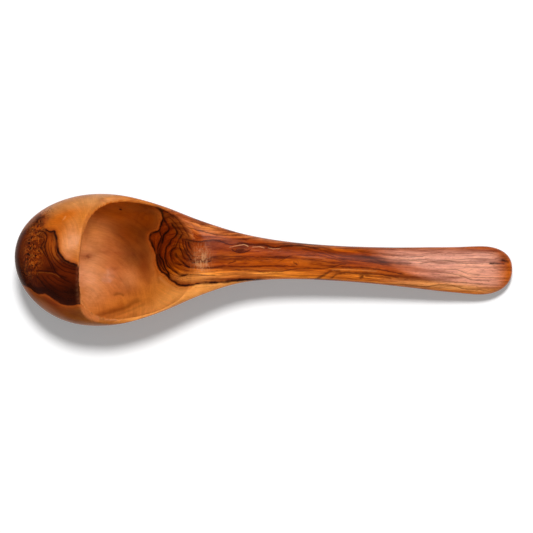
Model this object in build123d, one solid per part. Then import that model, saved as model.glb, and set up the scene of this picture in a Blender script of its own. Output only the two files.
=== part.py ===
"""Soup ladle carved from one billet of olive wood.

The ladle lies on its back, as it is put down on a table: it touches the table with a small sanded
flat under its bowl and with the tip of its handle. X runs from the nose of the bowl to the end of
the handle, Y runs across and Z is up. The origin is the centre of the sanded flat, on the table.

The whole ladle is one piece of wood. Its outside is one loft through cross-sections that stand
square to X. Each section is four curved quarters, which meet at its crown, at its keel and at its
widest level on both sides. The hollow is a second loft of the same kind. The mouth is a cut that
drops from the lip of the hood as a quarter of an ellipse and runs out over the handle.
"""

from build123d import *
import math
import os

import numpy as np

# Driving sizes, in millimetres. Places along the ladle are measured from its nose.
overall_length = 300.0
bowl_width = 79.6
nose_length = 50.0
bowl_length = 109.6

# Heights above the table.
hood_level = 51.0
widest_level = 27.0
rim_level = 32.2
rim_rise = 0.9
neck_drop = 1.6

# The handle, from the neck behind the bowl to its rounded end.
neck_from_nose = 150.0
neck_thickness = 14.0
waist_from_nose = 190.0
waist_width = 21.2
handle_end_length = 20.0
handle_end_width = 29.4
handle_end_thickness = 11.8
handle_end_lift = 1.5
handle_tip_dip = 1.7
handle_side_bend = 6.3

# The mouth.
lip_from_nose = 39.2
mouth_sweep_length = 35.0
mouth_skew_angle = 4.4

# Walls round the hollow.
front_wall = 8.0
side_wall = 3.8
hood_wall = 3.6
floor_wall = 5.0
hollow_offset = 0.3
hollow_overrun = 1.6

# The sanded flat under the bowl, and how far a cutting solid runs past what it cuts.
resting_flat_depth = 0.35
cut_overrun = 12.0

# The control points of a quarter that makes an ellipse lie at this share of its half-axes.
ellipse_share = 0.5523

# Powers of the curved ends: 2 is an ellipse, and more is squarer. Each tip is blunted this far along.
blunt_tip_share = 0.9995
handle_end_power = 2.3
handle_edge_power = 3.5
mouth_back_power = 2.3


def mix(start, end, share):
    """The value at a share of the way from a start to an end."""
    return start + (end - start) * share


def rounded(share, power=2.0):
    """How far a curved end still stands out: 1 where its curve starts and almost 0 at its tip."""
    return (1 - min(blunt_tip_share, max(0.0, share)) ** power) ** (1 / power)


def fair_curve(places, values):
    """The smooth curve through some points, as a function of place (a natural cubic spline)."""
    x = np.array(places, float)
    y = np.array(values, float)
    step = np.diff(x)
    slope = np.diff(y) / step
    system = np.eye(len(x))
    turning = np.zeros(len(x))
    for i in range(1, len(x) - 1):
        system[i, i - 1 : i + 2] = (step[i - 1], 2 * (step[i - 1] + step[i]), step[i])
        turning[i] = 3 * (slope[i] - slope[i - 1])
    bend = np.linalg.solve(system, turning)

    def value(place):
        i = int(np.clip(np.searchsorted(x, place) - 1, 0, len(x) - 2))
        run = place - x[i]
        start_slope = slope[i] - step[i] * (2 * bend[i] + bend[i + 1]) / 3
        bend_change = (bend[i + 1] - bend[i]) / (3 * step[i])
        return float(y[i] + start_slope * run + bend[i] * run**2 + bend_change * run**3)

    return value


def shared_curve(ends, levels, place_shares, level_shares):
    """A fair curve from shares of the way between two places and between two values."""
    places = [mix(*ends, share) for share in place_shares]
    return fair_curve(places, [mix(*levels, share) for share in level_shares])


# Outline seen from above: from the widest place of the bowl to the waist, then to the end.
handle_end_from_nose = overall_length - handle_end_length
flare = shared_curve(
    ends=(nose_length, waist_from_nose),
    levels=(bowl_width / 2, waist_width / 2),
    place_shares=(0.0, 0.05, 0.14, 0.22, 0.31, 0.40, 0.48, 0.57, 0.65, 0.74, 0.87, 1.0),
    level_shares=(0.0, 0.009, 0.073, 0.181, 0.332, 0.514, 0.657, 0.796, 0.883, 0.943, 0.987, 1.0),
)
paddle = shared_curve(
    ends=(waist_from_nose, handle_end_from_nose),
    levels=(waist_width / 2, handle_end_width / 2),
    place_shares=(0.0, 0.20, 0.48, 0.74, 1.0),
    level_shares=(0.0, 0.06, 0.33, 0.68, 1.0),
)


def handle_end_share(place):
    return (place - handle_end_from_nose) / handle_end_length


def half_width(place):
    if place <= nose_length:
        return bowl_width / 2 * rounded(1 - place / nose_length)
    if place <= waist_from_nose:
        return flare(place)
    if place <= handle_end_from_nose:
        return paddle(place)
    return handle_end_width / 2 * rounded(handle_end_share(place), handle_end_power)


# The middle of the ladle wanders a little to both sides, as a hand-carved one does.
sideways = shared_curve(
    ends=(0.0, overall_length),
    levels=(0.0, handle_side_bend),
    place_shares=(0.0, 0.067, 0.167, 0.333, 0.45, 0.533, 0.667, 0.817, 0.95, 1.0),
    level_shares=(0.286, 0.05, 0.0, 0.16, 0.19, 0.0, -0.38, -0.79, -0.985, -0.89),
)

# Side view. The top and bottom lines run from the top of the hood over the neck to the handle's tip.
neck_level = rim_level - neck_drop
crown_place_shares = (0.0, 0.15, 0.30, 0.45, 0.60, 0.75)
crown_fall_shares = (0.0, 0.10, 0.36, 0.66, 0.83, 0.925)
keel_place_shares = (0.0, 0.10, 0.25, 0.35, 0.45, 0.55, 0.65, 0.75)
keel_rise_shares = (0.0, 0.033, 0.20, 0.39, 0.61, 0.80, 0.93, 1.01)
handle_place_shares = (0.0, 0.31, 0.62, 0.88, 1.0)
handle_fall_shares = (0.0, 0.165, 0.48, 0.83, 1.0)


def side_line(bowl_level, neck_level, handle_end_level, tip_level, place_shares, level_shares):
    """A line of the side view: over the bowl with its own shares, then along the handle."""
    places = [mix(nose_length, neck_from_nose, share) for share in place_shares]
    levels = [mix(bowl_level, neck_level, share) for share in level_shares]
    places += [mix(neck_from_nose, handle_end_from_nose, share) for share in handle_place_shares]
    levels += [mix(neck_level, handle_end_level, share) for share in handle_fall_shares]
    return fair_curve(places + [overall_length], levels + [tip_level])


top_line = side_line(
    hood_level,
    neck_level,
    handle_end_lift + handle_end_thickness,
    handle_end_thickness - handle_tip_dip,
    crown_place_shares,
    crown_fall_shares,
)
bottom_line = side_line(
    -resting_flat_depth,
    neck_level - neck_thickness,
    handle_end_lift,
    -handle_tip_dip,
    keel_place_shares,
    keel_rise_shares,
)


def crown_and_keel(place):
    """The heights of the top and the bottom at a place along the ladle."""
    if place <= nose_length:
        reach = rounded(1 - place / nose_length)
        return mix(widest_level, hood_level, reach), mix(widest_level, -resting_flat_depth, reach)
    crown = top_line(place)
    keel = bottom_line(place)
    middle = (crown + keel) / 2
    reach = (crown - keel) / 2 * rounded(handle_end_share(place), handle_edge_power)
    return middle + reach, middle - reach


# How high up each section is widest, and how full its upper and lower quarters are.
hood_share = (widest_level + resting_flat_depth) / (hood_level + resting_flat_depth)
section_places = (nose_length, bowl_length, neck_from_nose, waist_from_nose, handle_end_from_nose)
widest_shares = (hood_share, 0.72, 0.54, 0.53, 0.57)
upper_fullness_shares = (ellipse_share, 0.74, 0.70, 0.70, 0.70)
lower_fullness_shares = (ellipse_share, 0.56, 0.60, 0.62, 0.64)


def quarter(x, middle, reach, level, peak, fullness, outward):
    """One quarter of a section: from its widest point to its crown or keel."""
    side = middle + outward * reach
    return Edge.make_bezier(
        (x, side, level),
        (x, side, mix(level, peak, fullness)),
        (x, mix(middle, side, fullness), peak),
        (x, middle, peak),
    )


def section(x, middle, reach, crown, level, keel, upper, lower):
    quarters = [
        quarter(x, middle, reach, level, peak, fullness, outward)
        for peak, fullness in ((crown, upper), (keel, lower))
        for outward in (1, -1)
    ]
    return Wire(quarters)


def nose_places(length, start=0.0):
    """Places from a nose to its widest section, evenly spread round its curve."""
    turn_shares = (0.0, 0.08, 0.18, 0.30, 0.44, 0.58, 0.72, 0.86, 1.0)
    return [start + length * (1 - math.cos(share * math.pi / 2)) for share in turn_shares]


def outer_section(place):
    crown, keel = crown_and_keel(place)
    level = mix(keel, crown, np.interp(place, section_places, widest_shares))
    upper = np.interp(place, section_places, upper_fullness_shares)
    lower = np.interp(place, section_places, lower_fullness_shares)
    shape = (half_width(place), crown, level, keel, upper, lower)
    return section(place - nose_length, sideways(place), *shape)


def outside():
    bowl_shares = (0.14, 0.28, 0.42, 0.56, 0.70, 0.84, 1.0)
    handle_shares = (0.14, 0.28, 0.42, 0.56, 0.70, 0.82, 0.92, 1.0)
    end_shares = (0.25, 0.47, 0.65, 0.79, 0.89, 0.96, 1.0)
    places = nose_places(nose_length)
    places += [mix(nose_length, neck_from_nose, share) for share in bowl_shares]
    places += [mix(neck_from_nose, handle_end_from_nose, share) for share in handle_shares]
    places += [mix(handle_end_from_nose, overall_length, share) for share in end_shares]
    return Solid.make_loft([outer_section(place) for place in places])


# The hollow. Its floor runs up to the back of the mouth, and ends just over the cut of the mouth.
hollow_half_width = bowl_width / 2 - side_wall
hollow_nose_length = nose_length - front_wall
hollow_end_from_nose = bowl_length + hollow_overrun
hollow_floor_end_level = rim_level + rim_rise + hollow_overrun / 2
hollow_widest_end_level = rim_level + rim_rise + hollow_overrun
roof_share = (hood_level - hood_wall - widest_level) / (widest_level - floor_wall)
floor_line = shared_curve(
    ends=(nose_length, hollow_end_from_nose),
    levels=(floor_wall, hollow_floor_end_level),
    place_shares=(0.0, 0.17, 0.42, 0.57, 0.67, 0.76, 0.84, 0.91, 0.96, 1.0),
    level_shares=(0.0, 0.04, 0.22, 0.40, 0.55, 0.69, 0.82, 0.92, 0.975, 1.0),
)


def hollow_section(place):
    back_share = (place - nose_length) / (hollow_end_from_nose - nose_length)
    if place <= nose_length:
        reach = rounded((nose_length - place) / hollow_nose_length)
        level = widest_level
        keel = mix(level, floor_wall, reach)
    else:
        reach = rounded(back_share, mouth_back_power)
        level = mix(widest_level, hollow_widest_end_level, back_share)
        keel = floor_line(place)
    crown = level + (level - keel) * roof_share
    middle = sideways(place) - hollow_offset
    shape = (hollow_half_width * reach, crown, level, keel, ellipse_share, ellipse_share)
    return section(place - nose_length, middle, *shape)


def hollow():
    back_shares = (0.17, 0.34, 0.5, 0.65, 0.78, 0.88, 0.95, 0.985, 1.0)
    places = nose_places(hollow_nose_length, front_wall)
    places += [mix(nose_length, hollow_end_from_nose, share) for share in back_shares]
    return Solid.make_loft([hollow_section(place) for place in places])


def mouth_cut():
    """What is cut off over the mouth: a quarter ellipse from the lip, then a line over the handle."""
    lip = lip_from_nose - nose_length
    sweep_end = lip + mouth_sweep_length
    run_out = neck_from_nose - nose_length
    top = hood_level + cut_overrun
    slope = rim_rise / (bowl_length - nose_length - sweep_end)
    low_control = mix(sweep_end, lip, ellipse_share)
    sweep = Bezier(
        (lip, hood_level),
        (lip, mix(hood_level, rim_level, ellipse_share)),
        (low_control, rim_level - slope * (sweep_end - low_control)),
        (sweep_end, rim_level),
    )
    end = (run_out, rim_level + slope * (run_out - sweep_end))
    outline = Polyline(sweep @ 1, end, (run_out, top), (lip, top), sweep @ 0)
    width = bowl_width + 2 * cut_overrun
    side = Plane.XZ.offset(-width / 2)
    cut = extrude(side * make_face(sweep + outline), width)
    pivot = Location((sweep_end, 0, rim_level))
    return pivot * Rot(0, 0, -mouth_skew_angle) * pivot.inverse() * cut


def below_table():
    length = overall_length + 2 * cut_overrun
    middle = overall_length / 2 - nose_length
    return Pos(middle, 0, -cut_overrun / 2) * Box(length, bowl_width, cut_overrun)


def ladle():
    return outside() - hollow() - mouth_cut() - below_table()


os.makedirs("parts", exist_ok=True)
export_step(ladle(), "parts/ladle.step")
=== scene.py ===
import math

import bmesh
import bpy
import numpy as np
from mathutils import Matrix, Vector
from mathutils.kdtree import KDTree


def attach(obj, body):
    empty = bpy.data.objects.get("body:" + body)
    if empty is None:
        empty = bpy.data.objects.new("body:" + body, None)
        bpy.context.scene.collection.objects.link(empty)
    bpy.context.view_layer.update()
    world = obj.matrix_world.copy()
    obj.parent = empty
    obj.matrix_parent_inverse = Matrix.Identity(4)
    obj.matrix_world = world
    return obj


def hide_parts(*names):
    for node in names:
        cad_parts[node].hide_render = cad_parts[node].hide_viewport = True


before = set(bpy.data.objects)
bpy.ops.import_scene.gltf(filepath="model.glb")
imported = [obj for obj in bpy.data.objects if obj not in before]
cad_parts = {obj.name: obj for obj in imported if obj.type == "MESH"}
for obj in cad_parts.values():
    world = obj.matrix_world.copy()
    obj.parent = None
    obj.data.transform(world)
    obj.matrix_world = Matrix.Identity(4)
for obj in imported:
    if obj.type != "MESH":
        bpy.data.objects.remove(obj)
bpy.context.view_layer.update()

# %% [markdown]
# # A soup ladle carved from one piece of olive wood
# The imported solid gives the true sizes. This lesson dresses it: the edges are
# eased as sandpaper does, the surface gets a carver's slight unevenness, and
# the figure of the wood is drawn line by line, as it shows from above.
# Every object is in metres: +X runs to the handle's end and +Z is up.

MM = 0.001

# %% [markdown]
# The node trees below are written with a few helpers. A node's input gets a
# link, a plain value or the name of a colour from the palette further down.


# %% Node helpers
def put(tree, value, socket):
    """Links an output to a socket, or sets its value or its palette colour."""
    if isinstance(value, bpy.types.NodeSocket):
        tree.links.new(value, socket)
    elif isinstance(value, str):
        socket.default_value = (*linear(PALETTE[value]), 1)
    else:
        socket.default_value = value


def make(tree, kind, inputs=None, **settings):
    """A new node with its settings and inputs. It gives back the outputs."""
    node = tree.nodes.new(kind)
    for name, value in settings.items():
        setattr(node, name, value)
    for socket, value in (inputs or {}).items():
        put(tree, value, node.inputs[socket])
    return node.outputs


def maths(tree, operation, *values):
    """One sum or product of values and outputs."""
    return make(tree, "ShaderNodeMath", dict(enumerate(values)), operation=operation)[0]


def group(kind, name, inputs, results):
    """A new node group, with its sockets listed by their kind."""
    tree = bpy.data.node_groups.new(name, kind + "NodeTree")
    for side, sockets in (("INPUT", inputs), ("OUTPUT", results)):
        for sort, names in sockets.items():
            for socket in names:
                tree.interface.new_socket(socket, in_out=side, socket_type="NodeSocket" + sort)
    start, end = tree.nodes.new("NodeGroupInput"), tree.nodes.new("NodeGroupOutput")
    return tree, start.outputs, end.inputs


def bare(owner):
    """The node tree of a material or a world, emptied."""
    owner.use_nodes = True
    owner.node_tree.nodes.clear()
    return owner.node_tree


# %% [markdown]
# ## The shape
# A tessellated solid has razor edges and long thin triangles. A bevel on the
# rim would fight with them, so the copy is remeshed in small even cubes and
# smoothed a little: the rim softens by about half a millimetre, and the even
# grid can carry the drawn figure.

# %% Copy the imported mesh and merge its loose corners
REMESH_SIZE = 0.8 * MM
MERGE_DISTANCE = 0.002 * MM
RIM_ANGLE = math.radians(38)
RIM_SMOOTHING_STEPS = 1
RIM_SMOOTHING = 0.5

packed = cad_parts["ladle"]
raw = packed.data.copy()
merged = bmesh.new()
merged.from_mesh(raw)
bmesh.ops.remove_doubles(merged, verts=merged.verts, dist=MERGE_DISTANCE)
merged.normal_update()
sharp_points = np.array([
    tuple((edge.verts[0].co + edge.verts[1].co) / 2)
    for edge in merged.edges
    if len(edge.link_faces) == 2 and edge.calc_face_angle(0) > RIM_ANGLE
])
merged.to_mesh(raw)
merged.free()
ladle = bpy.data.objects.new("carved_ladle", raw)
bpy.context.scene.collection.objects.link(ladle)
print("merged corners:", len(raw.vertices), "rim edges:", len(sharp_points))


# %% Remesh it evenly and ease the rim
def bake_modifiers(piece):
    """The piece's modifiers become its plain mesh."""
    graph = bpy.context.evaluated_depsgraph_get()
    made = bpy.data.meshes.new_from_object(piece.evaluated_get(graph))
    piece.modifiers.clear()
    piece.data = made
    return made


even = ladle.modifiers.new("even_grid", "REMESH")
even.mode = "VOXEL"
even.voxel_size = REMESH_SIZE
eased = ladle.modifiers.new("eased_rim", "SMOOTH")
eased.factor = RIM_SMOOTHING
eased.iterations = RIM_SMOOTHING_STEPS
mesh = bake_modifiers(ladle)
print("even grid:", len(mesh.vertices), "corners")

# %% [markdown]
# ## The carver's hand
# A knife and sandpaper leave long shallow swells. A small geometry node tree
# moves each point along its normal by a soft noise. Its depth, size and seed
# are named inputs, and the result is baked to plain mesh.

# %% Slight swells left by the knife
SWELL_DEPTH = 0.16 * MM
SWELL_SCALE = 45.0
SWELL_SEED = 7.0


def knife_swells():
    """Geometry nodes: points move along their normals by a soft noise."""
    tree, start, end = group(
        "Geometry", "Knife_Swells",
        {"Geometry": ["Geometry"], "Float": ["Depth", "Scale", "Seed"]},
        {"Geometry": ["Geometry"]})
    position = make(tree, "GeometryNodeInputPosition")[0]
    wave = make(tree, "ShaderNodeTexNoise", {
        "Vector": position, "Scale": start["Scale"], "W": start["Seed"], "Detail": 1.0,
    }, noise_dimensions="4D")[0]
    depth = maths(tree, "MULTIPLY", maths(tree, "SUBTRACT", wave, 0.5), start["Depth"])
    outwards = make(tree, "GeometryNodeInputNormal")[0]
    along = {0: outwards, "Scale": depth}
    offset = make(tree, "ShaderNodeVectorMath", along, operation="SCALE")[0]
    move = {"Geometry": start["Geometry"], "Offset": offset}
    put(tree, make(tree, "GeometryNodeSetPosition", move)[0], end[0])
    return tree


swells = ladle.modifiers.new("swells", "NODES")
swells.node_group = knife_swells()
for socket in swells.node_group.interface.items_tree:
    value = {"Depth": SWELL_DEPTH, "Scale": SWELL_SCALE, "Seed": SWELL_SEED}.get(socket.name)
    if value is not None:
        swells[socket.identifier] = value
mesh = bake_modifiers(ladle)
count = len(mesh.vertices)
place = np.empty(count * 3)
mesh.vertices.foreach_get("co", place)
place = place.reshape(count, 3)
# The sanded flat and the handle's tip stay on the table.
place[:, 2] = np.maximum(place[:, 2], 0)
mesh.vertices.foreach_set("co", place.ravel())
mesh.shade_smooth()
mesh.update()
normal = np.array([v.normal for v in mesh.vertices])
place = place / MM
print("carved mesh:", count, "corners, lowest", place[:, 2].min(), "mm")

# %% [markdown]
# ## Where each point of wood lies in the figure
# The figure is drawn in plan, in places of a 533-pixel picture taken from
# straight above, and the helper turns a picture place into millimetres.
# On the sides and the underside the plan is carried on at a slant, so that
# a line runs over the edge and on below, as it does in solid wood.

# %% From picture places to millimetres
PIXEL_SIZE = 0.6024
NOSE_PIXEL = 15.0
NOSE_X, END_X = -50.0, 250.0
AXIS_PIXEL = 260.0


def plan(points):
    """Picture places, as (across, down) pairs, become (x, y) in millimetres."""
    spots = np.atleast_2d(np.array(points, float))
    x = NOSE_X + (spots[:, 0] - NOSE_PIXEL) * PIXEL_SIZE
    y = (AXIS_PIXEL - spots[:, 1]) * PIXEL_SIZE
    return np.stack([x, y], 1)


def ramp(value, low, high):
    """A soft step from 0 at low to 1 at high."""
    share = np.clip((value - low) / (high - low), 0, 1)
    return share * share * (3 - 2 * share)


# %% Inside or outside, and how far below the widest line
CAVITY_CENTRE = np.array([5.0, 0.0, 30.0])
SLANT_X, SLANT_Y = -0.25, 0.6
SLAB_STEP, SLAB_HALF = 4.0, 3.0
SIDE_DEPTH = 0.5
SMOOTHED_OVER = 5

towards = CAVITY_CENTRE - place
facing = (normal * towards).sum(1) / np.linalg.norm(towards, axis=1)
inner = facing > 0
LAYERS = {"in": inner, "out": ~inner, "all": np.ones(count, bool)}
slabs = np.arange(NOSE_X, END_X + 1, SLAB_STEP)
widest = []
for left in slabs:
    rows = place[np.abs(place[:, 0] - left) < SLAB_HALF]
    reach = np.abs(rows[:, 1])
    widest.append(rows[reach > reach.max() - SIDE_DEPTH, 2].mean())
evened = np.ones(SMOOTHED_OVER) / SMOOTHED_OVER
widest = np.convolve(np.pad(widest, SMOOTHED_OVER // 2, "edge"), evened, "valid")
below = np.maximum(np.interp(place[:, 0], slabs, widest) - place[:, 2], 0)
below[inner] = 0
spot = np.stack([place[:, 0] + SLANT_X * below, place[:, 1] + SLANT_Y * below], 1)
print("inner share", inner.mean(), "widest line", widest.min(), widest.max())

# %% [markdown]
# ## Measuring against a drawn line
# Every line of the figure is a smooth curve through given points. Each
# corner of the mesh learns its distance to the line, with a sign for the side
# it is on. Between corners the distance is a straight ramp, so the shader can
# draw a line thinner than the grid itself.


# %% Smooth curve, distance and side
CURVE_STEPS = 4
TINY = 1e-9


def smooth_line(points, closed=False):
    """A smooth curve through the points (Catmull-Rom)."""
    p = plan(points)
    if closed:
        p = np.vstack([p[-1:], p, p[:2]])
    else:
        p = np.vstack([2 * p[0] - p[1], p, 2 * p[-1] - p[-2]])
    out = []
    for a, b, c, d in zip(p[:-3], p[1:-2], p[2:-1], p[3:]):
        for t in np.arange(CURVE_STEPS) / CURVE_STEPS:
            out.append(0.5 * (2 * b + (c - a) * t + (2 * a - 5 * b + 4 * c - d) * t * t
                              + (3 * b - a - 3 * c + d) * t ** 3))
    out.append(p[-2])
    return np.array(out)


def measure(line, where):
    """Distance to the line, the side (+1 on its left) and the share along it."""
    step = np.hypot(*(line[1:] - line[:-1]).T)
    start = np.concatenate([[0], np.cumsum(step)])
    best = np.full(len(where), np.inf)
    side = np.ones(len(where))
    along = np.zeros(len(where))
    for i, (a, b) in enumerate(zip(line[:-1], line[1:])):
        run = b - a
        size = max(run @ run, TINY)
        share = np.clip(((where - a) @ run) / size, 0, 1)
        off = where - a - share[:, None] * run
        dist = np.hypot(off[:, 0], off[:, 1])
        nearer = dist < best
        best[nearer] = dist[nearer]
        side[nearer] = np.sign(run[0] * off[nearer, 1] - run[1] * off[nearer, 0])
        along[nearer] = (start[i] + share[nearer] * step[i]) / start[-1]
    return best, side, along


def inside(points, where):
    """Signed distance to a closed outline: above 0 inside."""
    line = smooth_line(points, closed=True)
    dist = measure(line, where)[0]
    odd = np.zeros(len(where), bool)
    for (ax, ay), (bx, by) in zip(line[:-1], line[1:]):
        if ay == by:
            continue
        cross = (ay > where[:, 1]) != (by > where[:, 1])
        odd ^= cross & (where[:, 0] < (bx - ax) * (where[:, 1] - ay) / (by - ay) + ax)
    return np.where(odd, dist, -dist)


# %% [markdown]
# ## Washes of colour
# Olive wood is pale sapwood round a honey to dark brown heart. The ground
# colour is laid first, in soft washes from a small palette, as a painter
# would. The lines and the fine grain come on top of it. Some washes are
# painted light and shade: highlights, a sheen and glare on the outline, and
# shade inside the bowl and under the hood.

# %% The palette, in ordinary 0 to 255 colour
PALETTE = {
    # Cream sapwood, with a painted highlight on the hood's top.
    "sap_cream_and_highlight": (240, 164, 96),
    # Pale sapwood, and a painted sheen inside the bowl.
    "sap_pale_and_sheen": (228, 150, 94),
    "sap_tan": (204, 114, 56),
    # Painted shadow inside the bowl.
    "painted_bowl_shadow": (86, 34, 3),
    "sap_gold": (214, 122, 40),
    "sap_orange": (232, 118, 22),
    "sap_amber": (224, 112, 16),
    # Painted highlight for the hood, and also the colour of worn edges.
    "sap_highlight_and_wear": (240, 156, 98),
    "sap_red": (156, 64, 10),
    "rose": (150, 62, 30),
    # An olive tint, and painted shade under the hood.
    "olive_and_painted_shade": (120, 62, 20),
    "heart": (174, 68, 5),
    "heart_bowl": (142, 50, 5),
    "heart_olive": (158, 74, 18),
    "heart_warm": (206, 100, 12),
    "heart_red": (164, 64, 12),
    "heart_deep": (112, 34, 3),
    "band": (252, 138, 34),
    "honey": (214, 114, 44),
    # Pale wood and a painted sheen for the handle's end.
    "end_pale_and_sheen": (232, 160, 136),
    "start_pale": (226, 132, 72),
    "end_warm": (232, 138, 76),
    "halo": (204, 92, 24),
    # Painted glare for the steep outlines.
    "painted_rim_glare": (224, 154, 122),
    "sap_sun": (255, 166, 80),
    "end_sun": (255, 172, 98),
    "heart_fire": (170, 62, 1),
    "mottle": (136, 54, 14),
    "inner_orange": (226, 106, 2),
    # Painted shade for the hood's lower side.
    "hood_painted_shade": (130, 47, 6),
    # Painted shade for the bowl's upper inside.
    "bowl_painted_shade": (158, 66, 2),
    "patch_dark": (88, 26, 2),
    "patch_brown": (108, 36, 3),
    "patch_olive": (122, 46, 4),
    "patch_gold": (184, 82, 12),
    "patch_black": (44, 11, 2),
    "fleck_gold": (184, 106, 36),
    "line_dark": (46, 13, 4),
    "pale_line": (226, 152, 84),
    "worn": (212, 152, 100),
    "burl_dark": (54, 18, 6),
}


def linear(colour):
    """Ordinary 0 to 255 colour as light."""
    share = np.array(colour, float) / 255
    return np.where(share <= 0.04045, share / 12.92, ((share + 0.055) / 1.055) ** 2.4)


print("palette of", len(PALETTE), "wood colours")

# %% [markdown]
# The dark patch on the nose and the heartwood are closed outlines. Each shares
# its visible rim with a drawn line, so the rim's points are written once.

# %% Outlines of the dark patch on the nose and of the heartwood
PATCH_RIM = [
    (56, 233.6), (57.2, 238), (58.2, 243), (58.8, 248), (59.7, 252), (62.3, 256), (65.5, 260),
    (69.3, 262), (73.8, 264), (79.5, 266),
]
PATCH_LOW_RIM = [
    (12, 279), (24.7, 284.6), (31, 288), (35.5, 291.6), (40.6, 293), (45.7, 293), (50, 295),
    (54.6, 298), (58.5, 300.6), (62.3, 303), (67.4, 304.4), (73.8, 304.4), (80.8, 303.4),
]
NOSE_PATCH = [
    (44.4, 227), (47, 230), (51, 232), (54.6, 231), *PATCH_RIM, (92, 269), (97, 285), (90, 300),
    *reversed(PATCH_LOW_RIM), (-4, 270), (-10, 258), (4, 246), (17, 236), (24, 230), (31, 223),
    (37, 217), (42, 217), (44, 222),
]
HEART_RIM = [
    (155, 206), (160, 209), (162, 212), (163, 216), (163.4, 219), (161.4, 224), (160, 228),
    (159.4, 230.5), (155.4, 232), (151, 234), (149.7, 238), (151, 242), (153, 246.6),
    (154.7, 251), (156.4, 255), (156.7, 259), (157.7, 264), (159.4, 268.7), (162, 271.7),
    (166.8, 274.7), (169.5, 277.4), (171.5, 280), (174.8, 282), (178, 284.4), (183, 285.4),
    (189.6, 285), (197, 284), (207, 282.7), (217, 282.4), (227, 281.7), (234, 280.4),
]
HEARTWOOD = [
    (150, 196), *HEART_RIM, (256, 280), (300, 283), (360, 290), (420, 300), (480, 310), (530, 312),
    (530, 220), (480, 224), (400, 226), (300, 220), (230, 204), (190, 186), (160, 176),
]
print("patch of", len(NOSE_PATCH), "points, heartwood of", len(HEARTWOOD))

# %% [markdown]
# Each wash is an ellipse with a soft border: its layer (the outside, the
# inside or both), its colour, its centre and half sizes in picture places,
# its turn in degrees (clockwise) and its strength. The sapwood is washed
# first, then the heartwood inside its outline, then the handle's pale end
# with its painted sheen, and the patch on the nose last.

# %% The washes
SAPWOOD_WASHES = [
    ("in", "sap_tan", 108, 262, 60, 90, 0, 1.0),
    ("in", "sap_gold", 90, 234, 12, 18, 0, 0.7),
    # Pale sapwood with a painted sheen on the bowl's left inside.
    ("in", "sap_pale_and_sheen", 91, 258, 15, 27, 0, 0.75),
    ("in", "sap_pale_and_sheen", 91, 292, 14, 20, 0, 0.7),
    ("in", "sap_pale_and_sheen", 128, 281, 9, 12, 0, 0.4),
    ("in", "sap_red", 146, 222, 16, 14, 0, 0.8),
    ("in", "sap_red", 144, 262, 8, 20, 0, 0.7),
    ("in", "sap_red", 120, 297, 16, 12, 0, 0.3),
    ("in", "sap_red", 118, 262, 14, 14, 0, 0.3),
    # Painted shadow on the bowl's upper inside, as the upper rim would cast it.
    ("in", "painted_bowl_shadow", 124, 238, 30, 11, 58, 0.5),
    ("in", "painted_bowl_shadow", 130, 230, 26, 12, 42, 0.85),
    ("in", "painted_bowl_shadow", 146, 228, 15, 25, 0, 0.75),
    ("in", "painted_bowl_shadow", 134, 256, 17, 11, 0, 0.5),
    ("in", "sap_gold", 132, 306, 60, 14, -14, 0.7),
    ("in", "sap_gold", 165, 295, 40, 16, -20, 0.9),
    ("in", "sap_sun", 180, 293, 20, 9, -14, 0.9),
    ("all", "sap_sun", 158, 308, 36, 9, -22, 1.0),
    ("in", "sap_orange", 157.5, 268, 2.5, 9, 0, 0.5),
    ("in", "sap_red", 112, 311, 26, 4, -16, 0.55),
    ("in", "sap_orange", 112, 205, 28, 5, 0, 0.9),
    ("in", "inner_orange", 110, 210, 32, 10, 4, 0.6),
    # More painted shade on the bowl's upper inside, deep and saturated.
    ("in", "bowl_painted_shade", 122, 213, 32, 11, 6, 0.7),
    ("in", "bowl_painted_shade", 146, 216, 16, 12, 30, 0.6),
    ("in", "bowl_painted_shade", 126, 236, 20, 13, 40, 0.55),
    ("in", "rose", 86, 256, 8, 3.5, 0, 0.6),
    ("in", "rose", 108, 252.6, 22, 2.4, 3, 0.35),
    ("in", "rose", 114, 269, 5, 2, 0, 0.3),
    ("out", "sap_gold", 100, 200, 120, 26, 8, 1.0),
    # The hood's top and upper-left outline: pale sapwood and a painted highlight.
    ("out", "sap_cream_and_highlight", 92, 200, 34, 8, -16, 1.0),
    ("out", "sap_cream_and_highlight", 54, 205, 28, 7, -35, 0.9),
    ("out", "sap_amber", 62, 218, 22, 6, -24, 0.9),
    ("out", "sap_orange", 60, 230, 12, 12, -24, 0.6),
    # A painted highlight on the hood's upper side.
    ("out", "sap_highlight_and_wear", 72, 242, 9, 18, 10, 0.95),
    ("out", "sap_orange", 66, 217, 12, 4, -24, 0.6),
    ("out", "sap_amber", 70, 258, 10, 5, 30, 0.6),
    # More painted highlight by the lip.
    ("out", "sap_highlight_and_wear", 68, 257, 6, 8, -20, 0.8),
    ("out", "olive_and_painted_shade", 98, 204, 10, 3, -50, 0.35),
    ("out", "rose", 103, 200.6, 4, 1.6, -10, 0.5),
    # Painted shade on the hood's lower side, which faces away from the light.
    ("out", "olive_and_painted_shade", 88, 312, 34, 12, 10, 0.9),
    ("out", "hood_painted_shade", 52, 301, 30, 10, 34, 1.0),
    # Painted glare along the hood's lower outline.
    ("out", "painted_rim_glare", 48, 309, 34, 4, 34, 0.4),
    ("out", "mottle", 43, 221, 12, 5, -42, 0.9),
    # Painted glare along the hood's upper-left outline.
    ("out", "painted_rim_glare", 38, 213, 26, 4.5, -42, 0.8),
    ("out", "sap_sun", 214, 288, 56, 13, -10, 1.0),
]
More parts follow.
